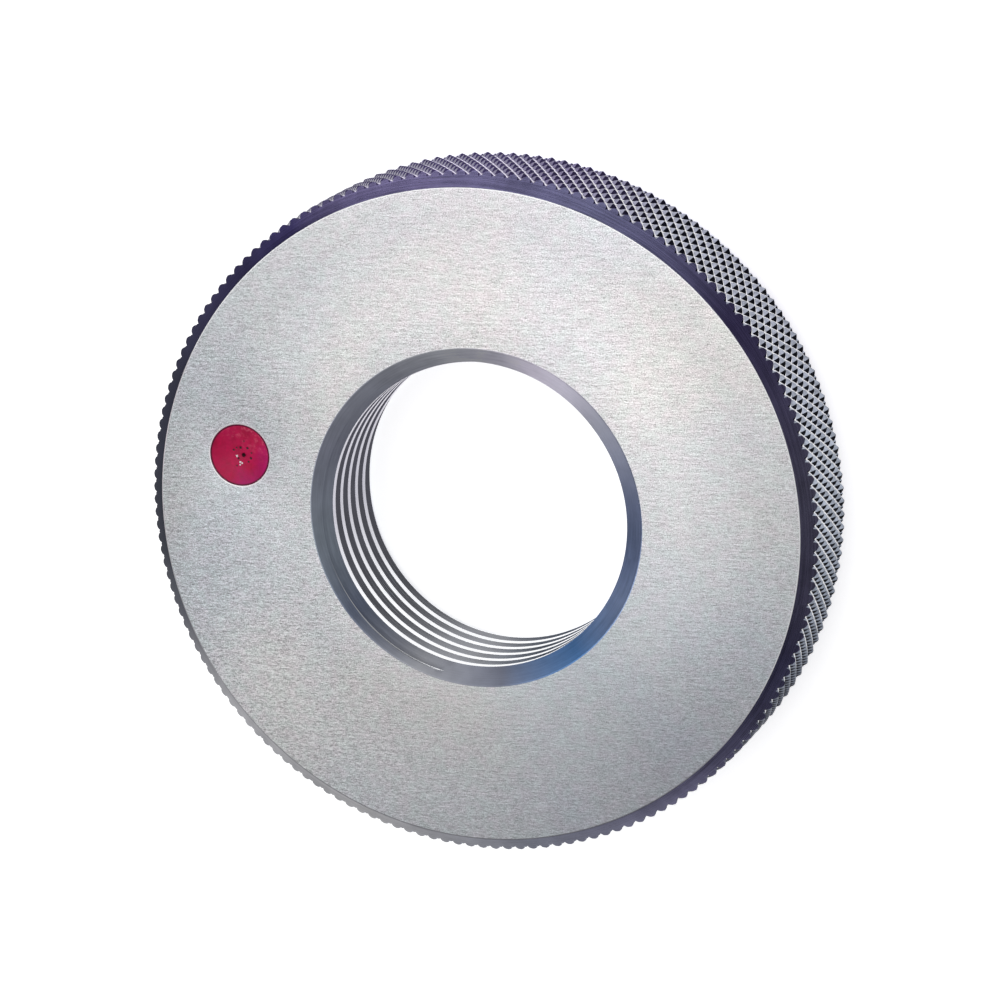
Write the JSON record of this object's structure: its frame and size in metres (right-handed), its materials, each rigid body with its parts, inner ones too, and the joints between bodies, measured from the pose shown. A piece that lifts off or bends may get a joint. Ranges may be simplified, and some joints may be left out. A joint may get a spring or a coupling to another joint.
{
  "type": "thread ring gauge",
  "caption": "Steel thread ring gauge with a diamond-knurled rim, ground faces, a countersunk right-hand thread and a red lacquer mark in one face.",
  "frame": {"origin": "centre of the plain back face, which the ring rests on", "axes": "+Z along the thread axis towards the marked front face, +X towards the red mark"},
  "size_m": [0.063, 0.063, 0.012],
  "materials": {
    "gauge_steel": "ground end faces, dark burnished knurl and chamfers",
    "red_lacquer": "glossy crimson lacquer"
  },
  "bodies": {
    "root": {"gauge_ring": "gauge_steel", "red_mark": "red_lacquer"}
  },
  "joints": []
}
